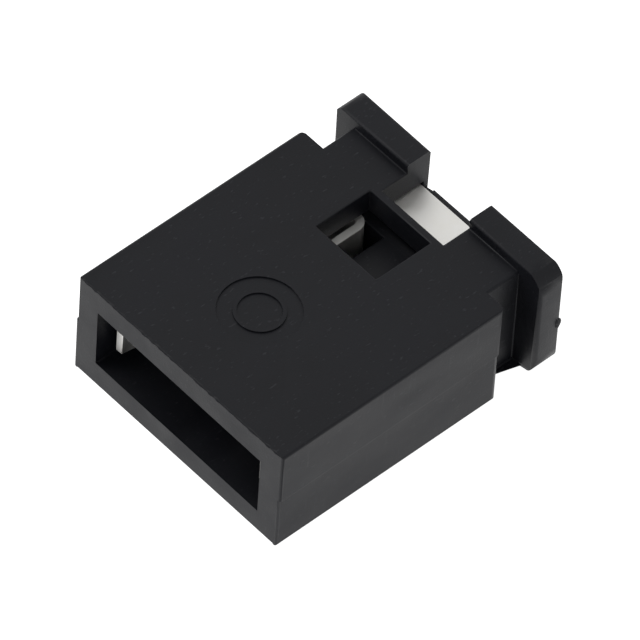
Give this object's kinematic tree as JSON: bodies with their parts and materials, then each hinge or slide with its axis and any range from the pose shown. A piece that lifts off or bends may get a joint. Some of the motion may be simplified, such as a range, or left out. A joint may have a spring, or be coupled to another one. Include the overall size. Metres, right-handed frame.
{
  "type": "jumper shunt",
  "caption": "Black moulded jumper shunt with a sprung tin-plated contact, a test window and a grip flange, to bridge two square header pins.",
  "frame": {"origin": "on the flat underside, at the centre of the part's outline seen from above", "axes": "+X across the two pins, +Y from the mouth to the grip flange, +Z from the flat underside to the ears"},
  "size_m": [0.005, 0.0062, 0.0025],
  "materials": {
    "black_moulding": "black glass-filled thermoplastic, fine satin grain from the mould",
    "tinned_metal": "rolled copper alloy strip with bright tin plating"
  },
  "bodies": {
    "root": {"housing": "black_moulding", "contact": "tinned_metal"}
  },
  "joints": []
}
